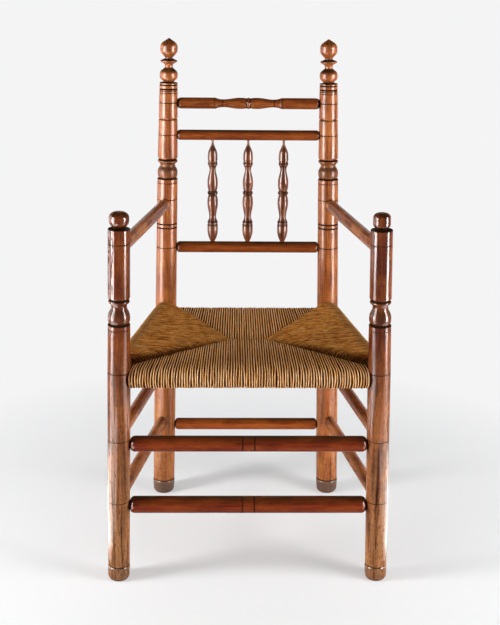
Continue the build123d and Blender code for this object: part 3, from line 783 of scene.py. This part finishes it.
def write_shares(mesh, shares, rng, runs_across):
    """Stores for each point of a gore its strand's tone, how near the seam, the roll or the next strand it
    is, and its fibre's place."""
    tones, seams, rolls, fibres = [], [], [], []
    spots = np.empty(len(mesh.vertices) * 3)
    mesh.vertices.foreach_get("co", spots)
    spots = spots.reshape(-1, STRAND_SIDES, 3)
    sideways = np.abs(spots - spots.mean(axis=1, keepdims=True))[:, :, 1 if runs_across else 0]
    gaps = sideways / sideways.max(axis=1, keepdims=True)
    for tone, section in shares:
        rings = (len(section) - 1) * RINGS_PER_POINT + 1
        turn = rng.uniform(0, FULL_TURN)
        offset = rng.uniform(*FIBRE_START)
        for ring in range(rings):
            index = min(ring // RINGS_PER_POINT, len(section) - 2)
            share = ring / RINGS_PER_POINT - index
            before, after = section[index], section[index + 1]
            roll = before[2] + (after[2] - before[2]) * share
            seam = before[3] + (after[3] - before[3]) * share
            travel = offset + ring * FIBRE_PACE
            for corner in range(STRAND_SIDES):
                angle = turn + 2 * math.pi * corner / STRAND_SIDES + travel * FIBRE_TURN
                tones.append(tone)
                seams.append(seam)
                rolls.append(roll)
                fibres.append((math.cos(angle), math.sin(angle), travel))
    across = [float(runs_across)] * len(tones)
    named = (("tone", tones), ("seam", seams), ("roll", rolls), ("across", across), ("gap", gaps.ravel()))
    for label, values in named:
        mesh.attributes.new(label, "FLOAT", "POINT").data.foreach_set("value", values)
    flat = [number for fibre in fibres for number in fibre]
    mesh.attributes.new("fibre", "FLOAT_VECTOR", "POINT").data.foreach_set("vector", flat)


def close_ends(mesh):
    """Closes the strands' ends and turns every face outward."""
    shape = bmesh.new()
    shape.from_mesh(mesh)
    edges = [edge for edge in shape.edges if edge.is_boundary]
    bmesh.ops.holes_fill(shape, edges=edges, sides=STRAND_SIDES)
    bmesh.ops.recalc_face_normals(shape, faces=shape.faces)
    shape.to_mesh(mesh)
    shape.free()


# Rush: each colour in the front and back gores, and in the side gores
BROWN = (0.70, 0.28, 0.062, 1), (0.52, 0.15, 0.018, 1)
GOLDEN = (1.0, 0.55, 0.18, 1), (0.87, 0.32, 0.046, 1)
STRAW = (1.0, 0.88, 0.60, 1), (0.90, 0.54, 0.18, 1)
# Its colours in both
# Painted shade in the gaps between strands and where they dive under at the seams
CREVICE_SHADE = (0.034, 0.006, 0.001, 1)
FLANK_SHADE = (0.58, 0.20, 0.024, 1)  # painted shade on the strands' flanks
BARK_AND_SHADE = (0.15, 0.035, 0.005, 1)  # in strokes on the side gores, and as painted shade at their front corners
OLIVE_SHADE = (0.20, 0.125, 0.052, 1)  # painted shade on the side rolls

FIBRES, FIBRE_STRETCH = (1.0, 3.0, 0.6), (2.6, 2.6, 0.5)
MOTTLE = (150.0, 3.0, 0.6)
HUE = (26.0, 3.0, 0.55)
STROKES, STROKE_STRETCH = (1.0, 3.0, 0.6), (40.0, 240.0, 240.0)
DARK_CORNER = (-0.135, -0.155)  # Y over which painted shade darkens the side gores towards the front posts
RUSH_BLUR, RUSH_RELIEF = 0.45, (0.7, 0.0006)


def make_rush():
    """Twisted rush: fine fibres that wind along each strand, golden where it is rubbed, and with painted shade
    in the gaps, on the flanks, at the seams, on the side rolls and at the front corners.
    """
    material, tree, output = new_material("rush")

    def stored(label, kind="Fac"):
        """What write_shares stored under a label."""
        return add_node(tree, "Attribute", attribute_name=label).outputs[kind]

    tone, seam, roll, gap, across = (stored(label) for label in ("tone", "seam", "roll", "gap", "across"))
    place = object_place(tree)
    blades = noise(tree, stretch(tree, stored("fibre", "Vector"), FIBRE_STRETCH), *FIBRES)
    mottle = noise(tree, place, *MOTTLE)
    hue = noise(tree, place, *HUE)

    # The fibres' own colours
    brown, golden, straw = (mix_colors(tree, across, *pair) for pair in (BROWN, GOLDEN, STRAW))
    body = plus(tree, times(tree, tone, 0.3), times(tree, mottle, 0.7))
    color = mix_colors(tree, ramp(tree, body, 0.40, 0.58), brown, golden)
    rubbed = ramp(tree, lessen(tree, roll, across), 0.0, 1.0, 0.85, 1.0)
    light = times(tree, rubbed, ramp(tree, hue, 0.35, 0.65, 0.6, 1.0))
    color = mix_colors(tree, times(tree, light, ramp(tree, blades, 0.40, 0.66)), color, straw)

    # What darkens them: strokes of bark, and painted shade on the side rolls, at the front corners, on the
    # flanks, in the gaps and at the seams
    strokes = ramp(tree, noise(tree, stretch(tree, place, STROKE_STRETCH), *STROKES), 0.46, 0.60, 0.0, 0.75)
    # Painted shade on the side gores' rolls
    roll_shade = ramp(tree, roll, 0.5, 1.0, 0.0, 0.65)
    # Painted shade at the side gores' front corners, by the posts
    corner = ramp(tree, split(tree, place)["Y"], *DARK_CORNER, 0.0, 0.85)
    # Painted shade on the strands' flanks, in the gaps between them and at the seams
    flank = times(tree, ramp(tree, gap, 0.10, 0.40), ramp(tree, across, 0.0, 1.0, 0.85, 0.1))
    between = ramp(tree, gap, 0.30, 0.68, 0.0, ramp(tree, across, 0.0, 1.0, 1.0, 0.75))
    deep = times(tree, ramp(tree, seam, 0.0, 0.6), ramp(tree, across, 0.0, 1.0, 0.9, 0.6))
    for mask, over in (
        (times(tree, across, strokes), BARK_AND_SHADE),
        (times(tree, across, roll_shade), OLIVE_SHADE),
        (times(tree, across, corner), BARK_AND_SHADE),
        (flank, FLANK_SHADE),
        (between, CREVICE_SHADE),
        (deep, CREVICE_SHADE),
    ):
        color = mix_colors(tree, mask, color, over)

    dull = larger(tree, between, ramp(tree, seam, 0.0, 0.2))
    dull = larger(tree, dull, ramp(tree, across, 0.0, 1.0, 0.0, 0.75))
    sheen = lessen(tree, ramp(tree, blades, 0.3, 0.7, 0.1, 0.5), dull)
    rough = ramp(tree, blades, 0.3, 0.7, 0.62, 0.45)
    cover(tree, output, color, rough, (*RUSH_RELIEF, blades), (sheen, RUSH_BLUR))
    return material


rush = make_rush()
halfway_x = FRONT_CORNER - (FRONT_CORNER - BACK_CORNER) / 2  # of the side rails
side_depth = halfway_x - SEAM_END
# Each gore: strands, seam line, depth, crown, lean of the seam's ends to the front, dip at the seam, seed
GORES = {
    "rush_front": (
        across_rail_strands(front_rail, FRONT_CORNER, 1), [front_left, seam_left, seam_right, front_right],
        seam_y - front_rail.y, 0.002, 0.0, 0.007, 11,
    ),
    "rush_back": (
        across_rail_strands(back_rail, BACK_CORNER, -1), [back_left, seam_left, seam_right, back_right],
        back_rail.y - seam_y, 0.002, 0.0, 0.009, 12,
    ),
    "rush_left": (
        side_rail_strands(-1), [front_left, seam_left, back_left], side_depth, 0.003, 0.002, 0.009, 13,
    ),
    "rush_right": (
        side_rail_strands(1), [front_right, seam_right, back_right], side_depth, 0.003, 0.002, 0.009, 14,
    ),
}
for gore_name, layout in GORES.items():
    gore = make_gore(gore_name, *layout)
    gore.data.materials.clear()
    gore.data.materials.append(rush)
    gore.data.polygons.foreach_set("use_smooth", [True] * len(gore.data.polygons))
    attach(gore, "root")
    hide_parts("rush_seat")
